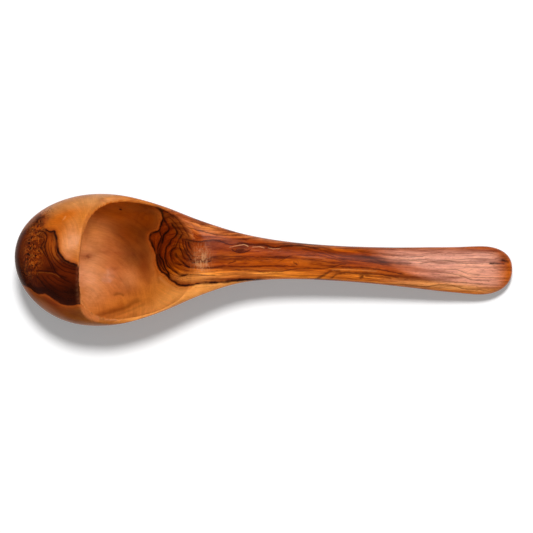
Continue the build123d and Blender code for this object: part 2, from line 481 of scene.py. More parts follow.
HEART_WASHES = [
    ("all", "heart_bowl", 165, 245, 22, 34, 0, 1.0),
    ("all", "heart_warm", 175, 272, 14, 9, 20, 0.7),
    ("all", "start_pale", 206, 227, 26, 7, 16, 0.85),
    ("in", "start_pale", 197, 231, 7, 9, 30, 0.9),
    ("all", "heart_deep", 208, 243, 18, 3, 0, 0.6),
    ("all", "heart_deep", 222, 256, 24, 7, 0, 0.45),
    ("all", "band", 205, 275, 28, 5, -2, 0.7),
    ("all", "band", 285, 275, 66, 5.5, 2, 1.0),
    ("all", "heart_deep", 244, 245, 40, 2.6, 3, 0.6),
    ("all", "heart_warm", 300, 259, 30, 3.5, 3, 0.45),
    ("all", "heart_deep", 305, 247, 36, 2.6, 4, 0.5),
    ("all", "heart_deep", 356, 257.4, 34, 3.2, 6, 0.7),
    ("all", "heart_warm", 345, 249, 30, 2.4, 3, 0.7),
    ("all", "band", 352, 270, 26, 1.6, 3, 0.7),
    ("all", "band", 376, 284, 36, 4, 4, 1.0),
    ("all", "honey", 440, 270, 60, 20, 3, 0.7),
    ("all", "heart_red", 388, 268, 16, 7, 8, 0.6),
    ("all", "heart_fire", 222, 243, 24, 5, 6, 0.6),
    ("all", "heart_deep", 268, 250, 38, 4.5, 3, 0.5),
    ("all", "heart_fire", 332, 257, 60, 6, 5, 0.8),
    ("all", "heart_warm", 262, 262, 44, 3, 0, 0.5),
    ("all", "sap_sun", 200, 277.5, 30, 5, -3, 0.8),
    ("all", "band", 364, 276, 30, 4, 4, 0.8),
    ("all", "worn", 201, 261, 10, 13, 0, 0.2),
    ("in", "heart_warm", 180, 252, 7, 9, 0, 0.6),
    ("all", "start_pale", 258, 238, 38, 3, 9, 0.7),
    ("all", "start_pale", 316, 245.6, 28, 2, 4, 0.6),
    ("all", "heart_warm", 312, 264, 22, 4, 2, 0.7),
    ("all", "sap_sun", 258, 274, 32, 3, 0, 0.5),
    ("all", "heart_warm", 228, 257, 15, 5, 0, 0.5),
    ("all", "heart_deep", 284, 256, 15, 7, 0, 0.28),
    ("all", "heart_warm", 316, 261, 26, 5, 2, 0.5),
    ("all", "heart_deep", 242, 249.8, 7, 2, 0, 0.8),
]
END_WASHES = [
    ("all", "honey", 506, 270, 12, 22, 0, 0.6),
    ("all", "end_warm", 412, 283, 26, 3, 4, 0.8),
    ("all", "end_sun", 456, 287.5, 58, 4.5, 5, 1.0),
    ("all", "heart_red", 410, 267.6, 30, 3.2, 10, 0.65),
    ("all", "heart_red", 430, 278, 28, 1.4, 4, 0.4),
    ("all", "band", 462, 292.4, 44, 2.0, 5, 0.8),
    ("all", "heart_warm", 442, 247, 62, 2.4, 0, 0.6),
    ("all", "heart_warm", 509, 268, 9, 26, 0, 0.9),
    ("all", "heart_olive", 505, 256, 9, 6, 0, 0.5),
    ("all", "heart_red", 503, 263, 12, 6, 0, 0.7),
    ("all", "burl_dark", 503.4, 261, 4.6, 2.6, 0, 0.9),
    ("all", "heart_fire", 502, 262.4, 3.0, 0.9, 0, 0.9),
]
PATCH_WASHES = [
    ("all", "patch_brown", 46, 258, 16, 22, 20, 0.9),
    ("all", "patch_olive", 30, 252, 13, 22, 10, 0.9),
    ("all", "patch_gold", 52, 246, 6, 14, -20, 0.9),
    ("all", "patch_black", 74, 292, 13, 11, 0, 1.0),
    ("all", "patch_black", 54, 291, 18, 7, 30, 0.8),
    ("all", "patch_black", 22, 274, 9, 16, -20, 0.8),
    ("all", "patch_brown", 66, 272, 14, 5, 20, 0.6),
    ("all", "patch_brown", 50, 279, 10, 4, 25, 0.6),
    ("all", "patch_black", 52, 268.6, 9, 2.4, 8, 0.7),
]
print("washes:", sum(map(len, (SAPWOOD_WASHES, HEART_WASHES, END_WASHES, PATCH_WASHES))))

# %% [markdown]
# Three small places have outlines of their own: the handle's pale end, partly
# a painted sheen, a corner of the back wall with painted shade, and the light
# lip of the hood. Beside the dark wood runs a narrow orange halo, where its
# oils have stained the pale wood, and the steep outline is paler, a painted
# reflection of the bright paper and room.

# %% Three small outlines
END_PALE = [
    (356, 251), (380, 249), (400, 249), (430, 248.5), (470, 249), (498, 252), (508, 262),
    (508, 276), (500, 287), (470, 288), (440, 284), (410, 276), (384, 266),
]
# A corner of the back wall that gets painted shade.
SHADED_WALL = [
    (163, 213), (170, 216), (176, 219), (183, 224.5), (187, 231), (191, 238), (193, 243),
    (188, 243), (183, 238), (179, 240), (174, 230), (169, 222), (164, 217),
]
LIP_PIXEL = 81.5
LIP_LIGHT = [
    (81.2, 303), (81.4, 308), (83, 313), (86, 317.5), (91, 320.5), (98, 322.4),
    (100, 317), (92, 313), (88, 308), (86, 303),
]
print("small outlines:", len(END_PALE), len(SHADED_WALL), len(LIP_LIGHT), "points")

# %% Where the washes start and end, in picture places
HEART_STARTS = (150, 190)
PALE_STARTS, PALE_SLANT, PALE_TOP = (358, 400), 1.6, 250
PATCH_RISES = (18, 44)
CORNER_ACROSS, CORNER_DOWN = (38, 50), (224, 234)
BRINK_ENDS = (140, 200)
HALO_WIDTH, HALO_STRENGTH = 2.2, 0.65
FLANK_DEPTH, BRINK_DEPTH = 12, 5
FALL = 1.2

across = (spot[:, 0] - NOSE_X) / PIXEL_SIZE + NOSE_PIXEL
down = AXIS_PIXEL - spot[:, 1] / PIXEL_SIZE
flat_share = np.abs(normal[:, 2])
print("picture places across:", across.min(), "to", across.max())


# %% Lay the washes
def blob(cx, cy, rx, ry, turn=0):
    """A soft ellipse in picture places, 1 in its middle."""
    a = math.radians(turn)
    dx, dy = across - cx, down - cy
    u = (dx * math.cos(a) + dy * math.sin(a)) / rx
    v = (-dx * math.sin(a) + dy * math.cos(a)) / ry
    return np.exp(-FALL * (u * u + v * v))


def paint_ground():
    """The ground colour of every corner, as light, and the two dark masks."""
    colour = np.tile(linear(PALETTE["sap_gold"]), (count, 1))

    def lay(name, weight):
        colour[:] += (linear(PALETTE[name]) - colour) * weight[:, None]

    def lay_all(washes, within):
        for layer, name, cx, cy, rx, ry, turn, strength in washes:
            lay(name, LAYERS[layer] * within * strength * blob(cx, cy, rx, ry, turn))

    def halo(gap, layer):
        lay("halo", HALO_STRENGTH * np.exp(-((gap / HALO_WIDTH) ** 2)) * (gap < 0) * layer)

    lay_all(SAPWOOD_WASHES, 1.0)
    heart = inside(HEARTWOOD, spot)
    in_heart = ramp(heart, -0.6, 0.9) * np.where(inner, 1, ramp(across, *HEART_STARTS))
    lay("heart", in_heart)
    lay_all(HEART_WASHES, in_heart)
    # The pale end, partly a painted sheen, starts at a slant, higher up first.
    slanted = ramp(across - PALE_SLANT * (down - PALE_TOP), *PALE_STARTS)
    lay("end_pale_and_sheen", 0.9 * ramp(inside(END_PALE, spot), -1.6, 2.4) * slanted)
    lay_all(END_WASHES, in_heart)
    # Painted shade on a corner of the back wall, beyond the mouth's edge.
    lay("heart_olive", 0.7 * ramp(inside(SHADED_WALL, spot), -0.4, 0.6))
    halo(heart, inner)
    lay("sap_tan", 0.8 * ramp(inside(LIP_LIGHT, spot), -0.3, 0.5) * ~inner)
    # Under the hood the patch fades out inwards from the lip.
    patch = inside(NOSE_PATCH, spot)
    hidden = ramp(LIP_PIXEL - across, -0.5, 1.5) * ramp(place[:, 2], *PATCH_RISES)
    halo(patch, ~inner)
    # Its upper corner has no clear border.
    corner = (1 - ramp(across, *CORNER_ACROSS)) * (1 - ramp(down, *CORNER_DOWN))
    border = 0.7 + 3.2 * corner
    in_patch = ramp(patch, -border, border) * np.where(inner, hidden, 1)
    lay("patch_dark", in_patch)
    lay_all(PATCH_WASHES, in_patch)
    # Painted reflection on the steep outline: paler towards the edge, and strongest on the bowl.
    steep = ramp(1 - flat_share, 0.35, 0.9) * np.exp(-((below / FLANK_DEPTH) ** 2)) * ~inner
    lay("painted_rim_glare", steep * (0.25 - 0.22 * in_patch))
    brink = ramp(1 - flat_share, 0.7, 1.0) * np.exp(-((below / BRINK_DEPTH) ** 2)) * ~inner
    lay("painted_rim_glare", 0.3 * brink * (1 - ramp(across, *BRINK_ENDS)))
    return colour, in_heart, in_patch


ground, in_heart, in_patch = paint_ground()
print("ground painted on", count, "corners")

# %% [markdown]
# ## The drawn lines
# A line has a name, its layer, its half width in millimetres, its darkness
# and its points in picture places. The heartwood's rim and the bows inside
# it are the tree's rings, cut across on the bowl's steep back wall. On the
# handle the same rings are cut along, and run nearly straight.

# %% A list for the lines
LINES = []


def line(name, layer, half, dark, points):
    """Adds one line to the figure."""
    LINES.append((name, layer, half, dark, points))


# %% The bows on the back wall
line("bow_outer", "all", 0.85, 1.0, [
    (152, 202), *HEART_RIM, (244, 279.7), (256, 279.9), (270, 280.4)])
line("bow_second", "all", 0.78, 1.0, [
    (163.4, 216), (164.4, 220), (166.8, 224), (169, 227), (168.8, 230.5), (165.5, 233), (163.4, 236),
    (162.8, 240.5), (161.4, 244.6), (160, 248.6), (159.4, 253), (160, 257), (162.8, 260.6), (164, 265),
    (165.5, 269), (167.5, 272), (168.8, 275), (171, 279)])
line("bow_braid", "in", 0.50, 0.9, [
    (159.5, 229), (160, 232.5), (161.4, 237), (160, 242), (158, 246), (157.7, 252), (158, 256.6),
    (160, 262), (162, 267), (166.8, 273)])
line("bow_third", "all", 0.55, 0.95, [
    (170, 221), (174, 227), (176.8, 231), (177, 234), (174.8, 237), (171.5, 240), (169.5, 244),
    (166, 248), (165.8, 252.6), (165, 257), (166, 262), (166.8, 265), (170, 268), (173.5, 270.7),
    (177.5, 273.4), (181, 275.7), (185.5, 275), (191, 274)])
line("bow_third_tail", "all", 0.36, 0.5, [(188.6, 274.4), (199, 274.6), (207, 275.4), (216, 275)])
line("bow_fourth", "all", 0.52, 0.9, [
    (183, 233), (180, 238), (177.5, 242.6), (175.5, 247), (172, 250), (170.8, 253), (171, 257),
    (172, 261), (174, 263), (177.5, 264), (181.5, 265), (183.5, 263.4)])
line("bow_core", "all", 0.72, 0.95, [
    (175.4, 252), (176.5, 255.5), (178.8, 258), (182.9, 262.6), (187, 266), (191, 267.7)])
line("bow_core_tail", "all", 0.40, 0.6, [(189, 267), (200, 267.3), (213.7, 267.7), (227, 266)])
line("bow_sixth", "in", 0.42, 0.8, [(179.5, 241), (179.5, 246), (181, 250), (183, 255), (185.5, 260)])
line("bow_seventh", "in", 0.40, 0.8, [
    (182.6, 238), (183.5, 246), (185.5, 251), (189, 256.6), (192, 261)])
line("bow_eighth", "in", 0.38, 0.75, [(185.2, 240), (187, 248.6), (189.6, 252.6), (193, 257)])
line("bow_ninth", "in", 0.36, 0.7, [(188, 241), (190, 247), (193, 252)])
line("bow_tenth", "in", 0.28, 0.55, [(176, 240.5), (174.4, 245), (173, 247.6)])
line("bow_top", "in", 0.34, 0.6, [(168, 217), (173, 221), (177.5, 226), (181, 231), (184, 236)])
line("bow_upper", "in", 0.30, 0.55, [(172, 214.6), (178, 220), (183, 226.5), (187, 233), (190, 238)])
line("bow_shoulder", "in", 0.30, 0.5, [(165.4, 211), (170, 214), (174.6, 219)])

# %% The long lines on the handle
line("handle_top", "all", 0.42, 0.65, [
    (186, 226), (190, 228), (197, 230), (204, 231.5), (210, 233.5), (220, 235), (232, 235.4),
    (243, 235)])
line("handle_top_hair", "all", 0.25, 0.5, [(188, 221), (200, 224), (214, 228), (228, 231), (244, 234)])
line("handle_top_second", "all", 0.28, 0.5, [
    (196, 235), (206, 236.4), (220, 238), (236, 239), (250, 240)])
line("handle_main", "all", 0.52, 0.72, [
    (179, 236), (183, 239), (191, 240.5), (199, 242), (207, 240.5), (213.7, 240), (220, 241),
    (230, 244.6), (240, 243), (245.5, 243.7), (252.5, 245), (263, 245), (270, 246.8), (277, 247.5),
    (284, 246), (298, 245.8), (305, 246.5), (312, 248), (319, 249), (326, 252)])
line("handle_main_middle", "all", 0.40, 0.6, [
    (319, 249), (326, 251.6), (333, 254.4), (345, 256.2), (351, 256.6), (361.6, 256.5), (372, 258.6),
    (379, 261), (389.6, 262.4), (400, 263.2), (407, 263.6), (415, 263.8)])
line("handle_main_shade", "all", 1.6, 0.40, [
    (322, 250), (336, 254), (352, 256.4), (372, 259), (392, 262.4), (412, 263.4)])
line("handle_main_double", "all", 0.30, 0.6, [
    (336, 257.4), (350, 259), (364, 259.6), (378, 263.4), (394, 265.6)])
line("handle_main_far", "all", 0.32, 0.42, [
    (415, 263.8), (420, 263.6), (428, 262.3), (435, 261.4), (441, 260.4), (448.7, 260.7), (455, 262.3),
    (467.8, 263.4), (484, 262.5), (492, 262.2), (500, 262.6)])
line("handle_main_under", "all", 0.36, 0.4, [
    (262, 243), (272, 244.4), (284, 243.6), (298, 243.6), (312, 245), (326, 248.4), (340, 252.6),
    (352, 254)])
line("handle_main_low", "all", 0.36, 0.6, [
    (300, 249), (314, 251.4), (328, 255), (342, 259.4), (356, 260.6), (372, 262.6)])
line("eye_knot_low", "all", 0.34, 0.8, [
    (231, 248.8), (234, 251), (239, 252.4), (245, 252.2), (249.5, 250.4), (250.8, 248.6)])
line("eye_knot_top", "all", 0.22, 0.5, [(231, 248.6), (236, 247.4), (243, 247.6), (249, 248.8)])
line("eye_knot_core", "all", 0.42, 0.6, [(236, 249.8), (240.6, 250.2), (245, 249.8)])
line("start_dash", "all", 0.45, 0.7, [(227.4, 264.2), (231, 262.8), (236.4, 261)])
line("under_start", "all", 0.42, 0.85, [
    (191, 262.6), (193.6, 263), (200, 262), (207, 262), (212, 260.6)])
line("start_hair", "all", 0.28, 0.6, [
    (207, 258), (209.7, 257.6), (220, 256.3), (234, 256.6), (256, 257.2), (280, 257)])
line("start_hair_low", "all", 0.28, 0.55, [
    (231, 260.4), (244, 260), (256, 260), (274, 259.5), (280.6, 258.8), (286, 257)])
line("middle_long", "all", 0.40, 0.62, [
    (226, 266.4), (235, 266.5), (249, 266.5), (270, 265.8), (284, 266), (298, 266.5)])
line("middle_low", "all", 0.38, 0.58, [
    (229, 269.6), (235, 270), (252.5, 270.4), (263, 272), (273.6, 272), (284, 271), (293, 269.2),
    (306, 268.4), (324, 268.4), (332, 267.2), (340, 264.8), (352, 262.6)])
line("curl", "all", 0.34, 0.5, [
    (276, 263), (284, 259), (289, 256.4), (295.5, 255), (306.7, 255.4), (318, 255.6), (329, 257.8),
    (340, 260.6), (352, 263)])
line("curl_mark", "all", 0.45, 0.65, [(293.4, 261), (294.2, 263), (296.6, 264.2), (297, 266)])
line("curl_second", "all", 0.28, 0.45, [(300, 259), (312, 259.6), (324, 261.6), (336, 264)])
line("rise", "all", 0.7, 0.6, [
    (314, 280), (319, 277.8), (324, 275), (329, 271.9), (334, 271.2), (342, 271.6)])
line("rise_second", "all", 0.75, 0.65, [
    (329, 279.8), (332, 277.8), (335, 275.4), (337.8, 274), (345.5, 272.4), (356.7, 273.7), (366, 274),
    (373, 273.9), (382, 274.6), (390, 276), (402, 278.6)])
line("long_c", "all", 0.40, 0.7, [
    (338, 266.6), (347.5, 267.4), (365, 267.7), (379, 269.5), (389.6, 271.6), (400, 273.6),
    (406, 274.6)])
line("long_c_far", "all", 0.34, 0.38, [
    (436, 272.4), (446, 273), (453, 274), (461.7, 276), (470.5, 279.4), (480, 280.6), (492, 281.2)])
line("long_d_stain", "all", 1.3, 0.35, [(394, 277), (407, 278), (421, 279), (440, 280.4), (453, 281.4)])
line("long_d", "all", 0.30, 0.5, [
    (400, 279), (420, 280), (440, 281), (458, 282.4), (474, 283.6), (492, 285)])
line("hook_knot", "all", 0.8, 0.75, [(359.4, 278.4), (361.4, 276.8), (364, 276)])
line("hook_tail", "all", 0.34, 0.6, [(364, 276.2), (370, 276.2), (380, 276.5), (392, 278.6)])
line("low_f", "all", 0.32, 0.45, [
    (385, 286), (391.8, 285), (400, 284.2), (414, 285.6), (428, 286.3), (439, 284.6), (452, 285.3),
    (464.6, 289), (477, 289.7), (487, 291), (494, 292.4)])
line("end_hair", "all", 0.30, 0.3, [(450, 269), (458, 270), (464.6, 272.5), (474, 274.4), (482, 275)])
line("end_hair_top", "all", 0.26, 0.3, [
    (420, 254), (440, 253), (460, 253.6), (480, 252.6), (496, 253.6)])
line("far_top", "all", 0.34, 0.40, [
    (352, 250.6), (366, 252.4), (380, 254), (396, 255.6), (412, 256.4), (430, 256)])
line("far_top_hair", "all", 0.26, 0.40, [(372, 257), (386, 259), (400, 260), (416, 260), (432, 258.6)])
line("far_low_hair", "all", 0.26, 0.40, [
    (352, 264.6), (370, 265.6), (388, 267.6), (406, 269.6), (428, 270), (450, 272)])
line("end_knot", "all", 0.40, 0.95, [(489, 263.6), (494, 263.5), (500, 263.6), (505.6, 264)])
line("end_knot_star", "all", 0.45, 0.7, [(502, 259.4), (505, 261), (509.6, 262.4)])
line("end_ring", "all", 0.40, 0.3, [(493, 267.6), (499, 269.4), (505, 269.4), (510, 266.6)])
line("end_ring_top", "all", 0.40, 0.3, [(495, 259.6), (499, 257.4), (504, 257), (508.6, 259)])

# %% The nose: the patch's rim and the rings inside it
line("patch_rim", "out", 0.78, 1.0, [
    (44.6, 227.4), (47, 230), (51, 232), (54.6, 231.4), *PATCH_RIM, (84, 267)])
line("patch_low_rim", "out", 0.60, 0.9, [*PATCH_LOW_RIM, (86, 303)])
line("ring_one", "out", 0.45, 0.9, [
    (38, 231), (40.6, 231.7), (44.4, 232), (47.6, 235.5), (47.3, 240.6), (45.7, 245.7), (46.4, 249.5),
    (49.5, 258.5), (53.4, 264.8), (57.2, 272.5), (62, 276), (70, 278)])
line("ring_two", "out", 0.38, 0.8, [
    (38, 236.6), (40.6, 237), (44.4, 238), (44.8, 242), (42.5, 245.7), (43.8, 250.8), (48.3, 258.5),
    (51, 264), (54, 270)])
line("ring_three", "out", 0.30, 0.7, [
    (52.4, 238), (52.2, 246), (53, 253), (57, 260), (63, 265.4), (71, 268.6), (79, 270.4)])
line("ring_four", "out", 0.28, 0.6, [
    (56.2, 244), (56.6, 251), (60, 258), (66, 263.4), (72, 266), (79, 268)])
line("ring_five", "out", 0.30, 0.65, [
    (50, 240), (49.6, 248), (52.4, 257), (57, 265), (64, 270.4), (72, 273), (80, 274.6)])
line("tongue_top", "out", 0.40, 0.85, [
    (36, 270.8), (44, 271), (54.6, 272), (58, 273.4), (66, 280), (74, 283)])
line("tongue_low", "out", 0.42, 0.9, [
    (38, 271.4), (38, 276), (42, 281), (45.7, 286), (51.5, 291.6), (59.7, 297.4), (68, 300), (79, 300)])
line("tongue_inner", "out", 0.30, 0.7, [(42, 274.6), (46, 280), (52, 286), (60, 291), (70, 293.4)])
line("tongue_core", "out", 0.28, 0.6, [(47, 275), (52, 280), (60, 285), (70, 288)])
line("tongue_heart", "out", 0.26, 0.55, [(53, 275.6), (60, 280.6), (68, 284)])
line("mottle_one", "out", 0.9, 0.6, [(37, 221), (40, 218.6), (43, 217.4), (46, 217)])
line("mottle_two", "out", 0.8, 0.5, [(34, 226), (37, 224), (40, 223)])
# A broad dark band along the patch's lower rim.
line("low_rim_dark_band", "out", 2.0, 0.8, [
    (28, 283), (35, 288.6), (41, 290), (46, 290.4), (51, 292.6), (57, 297), (63, 300.4), (69, 301.4),
    (79, 300.8)])

# %% Faint marks in the bowl's sapwood
line("pin_knot", "in", 0.55, 1.0, [(119.4, 209.2), (120.6, 209.5), (122, 209.9)])
line("small_knot", "in", 0.8, 0.3, [(86, 255), (87.4, 256.4), (88.6, 258.4)])
line("arc_one", "in", 1.0, 0.12, [
    (96, 274), (102.6, 274.6), (110, 275.6), (117, 278), (124, 282.4), (129, 289), (130, 296)])
line("arc_two", "in", 0.9, 0.10, [(98, 280), (106, 280), (114, 283), (120, 288), (123, 294)])
line("floor_eye", "in", 0.9, 0.35, [(113, 295.4), (117, 294), (121, 294.4), (124, 296)])
line("low_streak", "in", 1.3, 0.30, [
    (92, 318.6), (96, 317.4), (104, 314), (115, 311), (127, 307), (135, 302), (143, 300)])
line("low_streak_two", "in", 1.0, 0.20, [(104, 318), (118, 314.6), (132, 309.6), (146, 303)])
line("swirl", "in", 1.1, 0.14, [
    (141, 222), (143.6, 215.6), (149.6, 213.4), (155.4, 216.4), (157.2, 222.6), (153.6, 228.6),
    (147, 229.4)])
line("swirl_two", "in", 1.1, 0.10, [(136, 224), (139, 213), (148, 208.6)])
line("wall_streak", "in", 1.2, 0.12, [(98, 222), (108, 227), (120, 236), (130, 247), (137, 258)])
line("edge_line", "in", 0.9, 0.15, [(157.4, 268), (157.8, 276), (158.4, 284)])
print("lines drawn:", len(LINES))

# %% [markdown]
# A few lines are lighter than their ground: golden threads beside the rings,
# the pale squiggle by the eye knot and a painted glint on the hood. They are
# laid in the same way.

# %% The light lines
DARK_LINES, LINES = LINES, []
line("pale_squiggle", "all", 0.20, 0.85, [(229, 247.6), (235, 246.2), (243.4, 244.7), (249, 246.6)])
line("pale_squiggle_middle", "all", 0.20, 0.7, [(252, 247.4), (258, 246.7), (265, 248)])
line("pale_squiggle_end", "all", 0.20, 0.6, [(268, 248), (274, 248.7), (281, 248.4)])
line("golden_thread", "out", 0.6, 0.22, [
    (54.6, 234), (55.3, 238), (55.3, 242), (54.6, 249.5), (56.6, 256), (61, 260.4)])
line("tongue_thread", "out", 0.26, 0.24, [
    (39, 276), (38.6, 272.8), (44, 272.4), (52, 273.2), (58, 275.4), (61, 278)])
line("low_thread", "all", 0.40, 0.3, [(330, 270), (345, 269.6), (360, 270), (378, 271.4)])
line("curl_thread", "all", 0.45, 0.1, [(300, 256.6), (306, 256.4), (316, 257.4), (326, 259)])
# A painted glint on the hood.
line("hood_painted_glint", "out", 0.5, 0.6, [(63.4, 220.6), (65.4, 218.4), (67, 216.4)])
line("wall_glow", "in", 0.9, 0.3, [(158.6, 276), (163, 281), (169, 285), (176, 288.6)])
LIGHT_LINES, LINES = LINES, DARK_LINES
print("light lines:", len(LIGHT_LINES))

# %% [markdown]
# Neighbouring lines need a channel each, because a corner can hold only one
# distance in a channel. The lines are dealt out in turn, each to the first
# channel where nothing lies close by.

# %% Give every corner its place beside the lines
DARK_CHANNELS, LIGHT_CHANNELS = 7, 2
CLEAR, REACH, FAR_OFF = 1.9, 2.5, 9.0
TAPER = 0.07
UNDER_FADE = 0.55
FADE_BELOW = (8, 24)


def lay_lines(lines, channels):
    """One sheet a channel: distance, darkness and half width of its line.

    A line is whole up to CLEAR millimetres from its middle and ends at REACH.
    It tapers at both ends, and fades towards the underside.
    """
    nearest = np.full((channels, count), np.inf)
    sheet = np.zeros((channels, count, 3), np.float32)
    sheet[:, :, 0] = FAR_OFF
    sheet[:, :, 2] = 1
    for name, layer, half, dark, points in lines:
        curve = smooth_line(points)
        low, high = curve.min(0) - REACH, curve.max(0) + REACH
        rows = np.flatnonzero(LAYERS[layer] & (spot > low).all(1) & (spot < high).all(1))
        dist, side, along = measure(curve, spot[rows])
        keep = dist < REACH
        rows, dist, side, along = rows[keep], dist[keep], side[keep], along[keep]
        for channel in range(channels):
            if not ((dist < CLEAR) & (nearest[channel, rows] < CLEAR)).any():
                break
        else:
            print("no room for", name)
            continue
        mine = dist < nearest[channel, rows]
        rows, dist, side, along = rows[mine], dist[mine], side[mine], along[mine]
        taper = ramp(along, 0, TAPER) * ramp(1 - along, 0, TAPER)
        nearest[channel, rows] = dist
        sheet[channel, rows, 0] = dist * side
        deep = 1 - UNDER_FADE * ramp(below[rows], *FADE_BELOW)
        sheet[channel, rows, 1] = dark * taper * deep * (1 - ramp(dist, CLEAR, REACH))
        sheet[channel, rows, 2] = half
    return sheet


def keep_sheet(name, values):
    """Stores three values a corner on the mesh."""
    layer = mesh.attributes.new(name, "FLOAT_VECTOR", "POINT")
    layer.data.foreach_set("vector", values.astype(np.float32).ravel())


ALL_LINES = (("dark", LINES, DARK_CHANNELS), ("light", LIGHT_LINES, LIGHT_CHANNELS))
for kind, lines, channels in ALL_LINES:
    for channel, sheet in enumerate(lay_lines(lines, channels)):
        keep_sheet(f"{kind}_{channel}", sheet)
        print(kind, channel, "holds", int((sheet[:, 1] > 0).sum()), "corners")
wash = mesh.attributes.new("wash", "FLOAT_COLOR", "POINT")
solid_ground = np.hstack([ground, np.ones((count, 1))]).astype(np.float32)
wash.data.foreach_set("color", solid_ground.ravel())

# %% [markdown]
# ## The run of the grain
# Fine grain follows the rings. On the handle and the back wall its first
# coordinate is the distance from the heart line, so that the grain bends
# round the bows as they do. On the nose it is the distance from the patch's
# rim, and in the rest of the bowl from one centre, which gives wide arcs.

# %% Grain coordinates and masks
HEART_LINE = [
    (177, 256), (181, 261), (189, 264), (200, 265), (227, 264), (256, 262.5), (285, 262),
    (320, 264), (360, 267), (400, 270), (440, 272), (480, 272), (540, 272)]
UPPER_SQUEEZE = 0.8
ARC_CENTRE = (75, 312)
RIM_POINTS = 15
HANDLE_GRAIN_INSIDE, HANDLE_GRAIN_OUTSIDE = (148, 158), (110, 180)
NOSE_GRAIN_ENDS = (80, 105)

heart_line_gap, heart_line_side, _ = measure(smooth_line(HEART_LINE), spot)
rings_handle = heart_line_gap * np.where(heart_line_side > 0, UPPER_SQUEEZE, 1)
rim_curve = smooth_line(NOSE_PATCH[:RIM_POINTS])
rings_nose = measure(rim_curve, spot)[0]
rings_bowl = np.hypot(*(spot - plan([ARC_CENTRE])[0]).T)
handle_from_inside = ramp(across, *HANDLE_GRAIN_INSIDE)
handle_share = np.where(inner, handle_from_inside, ramp(across, *HANDLE_GRAIN_OUTSIDE))
nose_share = np.where(inner, 0, 1 - ramp(across, *NOSE_GRAIN_ENDS))
rings = rings_bowl + (rings_nose - rings_bowl) * nose_share
rings = rings + (rings_handle - rings) * handle_share
keep_sheet("grain", np.stack([rings, spot[:, 0], spot[:, 1]], 1))

tree_of_edges = KDTree(len(sharp_points))
for i, corner in enumerate(sharp_points):
    tree_of_edges.insert(corner, i)
tree_of_edges.balance()
rim_gap = np.array([tree_of_edges.find(p)[2] for p in place * MM]) / MM
print("grain laid, farthest from an edge:", rim_gap.max(), "mm")

# %% The burl, the edges and the worn spot
BURL_SPOTS = ((1.5, (34, 252, 9, 24, 6)), (1.2, (40, 226, 10, 7, -30)))
MOTTLED_CORNER = (0.6, (44, 216, 13, 6, -38))
WORN_SPOT = (201.5, 260, 8, 13)
WORN_EDGE = 1.1
CALM_STARTS = (370, 410)

burl = in_patch * np.clip(sum(strength * blob(*shape) for strength, shape in BURL_SPOTS), 0, 1)
strength, shape = MOTTLED_CORNER
burl = np.maximum(burl, strength * blob(*shape)) * ~inner
worn = blob(*WORN_SPOT) * (below < 1)
edge = np.exp(-((rim_gap / WORN_EDGE) ** 2))
keep_sheet("marks", np.stack([burl, edge, worn], 1))
# The handle's pale end has a calmer figure.
calm = ramp(across, *CALM_STARTS)
keep_sheet("woods", np.stack([in_heart, in_patch, calm], 1))
print("rim corners", int((edge > 0.5).sum()))

# %% [markdown]
# ## The wood
# The material is built from small node groups, each with one job: a line,
# the grain, and the flecks of the burl. They put out masks only. The gloss
# belongs to the whole piece and is set on the shader itself.


# %% Steps, mixed colours and noises
def soft_step(tree, value, low, high, start=0.0, end=1.0):
    """From start at low to end at high, softly."""
    inputs = dict(enumerate((value, low, high, start, end)))
    return make(tree, "ShaderNodeMapRange", inputs, interpolation_type="SMOOTHSTEP")[0]


def mix(tree, share, first, second, blend="MIX"):
    """The second colour over the first, as far as the share says."""
    inputs = {"Factor": share, 6: first, 7: second}
    return make(tree, "ShaderNodeMix", inputs, data_type="RGBA", blend_type=blend)[2]


# Each noise has its stretch in three directions, its detail, its roughness
# and its seed. The grain's own coordinates are in millimetres.
NOISES = {
    "streak": ((0.55, 0.018, 0.05), 4.0, 0.62, 3.1),
    "hair_wide": ((0.42, 0.42 * 0.025, 0.42 * 0.08), 1.0, 0.5, 8.4),
    "hair_fine": ((0.95, 0.95 * 0.025, 0.95 * 0.08), 1.0, 0.5, 4.7),
    "broken": ((0.35, 0.03, 0.1), 2.0, 0.6, 2.6),
    "thread": ((0.75, 0.05, 0.12), 3.0, 0.7, 7.2),
    "fibre": ((110.0, 1700.0, 1700.0), 3.0, 0.65, 1.3),
    "pore": ((300.0, 2200.0, 2200.0), 0.0, 0.5, 5.9),
    "fleck": ((620.0, 620.0, 620.0), 2.0, 0.6, 2.2),
    "fleck_field": ((220.0, 220.0, 220.0), 1.0, 0.5, 6.6),
    "mottle": ((430.0, 430.0, 430.0), 3.0, 0.65, 9.4),
    "crinkle": ((420.0, 420.0, 420.0), 3.0, 0.6, 4.4),
    "swell": ((150.0, 150.0, 150.0), 1.0, 0.5, 9.1),
    "fade": ((130.0, 130.0, 130.0), 2.0, 0.6, 6.2),
    "cloud": ((80.0, 80.0, 80.0), 4.0, 0.6, 8.8),
    "scratch": ((1700.0, 450.0, 450.0), 2.0, 0.6, 3.3),
}


def noise(tree, where, name):
    """One of the noises, at a place; 0.5 on average."""
    stretch, detail, rough, seed = NOISES[name]
    shift = (seed, seed * 1.7, seed * 2.3)
    stretched = {"Vector": where, "Scale": stretch, "Location": shift}
    return make(tree, "ShaderNodeTexNoise", {
        "Vector": make(tree, "ShaderNodeMapping", stretched)[0],
        "Scale": 1.0, "Detail": detail, "Roughness": rough,
    })[0]


def parts(tree, vector):
    """The three values of a vector."""
    return make(tree, "ShaderNodeSeparateXYZ", {0: vector})


# %% A drawn line: its core and the shade beside it
# The widths of a stain are in millimetres, and the rest in half widths of the line.
STAIN_WIDTHS = (0.6, 1.2)
CORE_STARTS, CORE_ENDS = 0.35, 1.5
SHADE_SIDE, SHADE_FADES = (-1.5, 0.5), (0.6, 4.5)


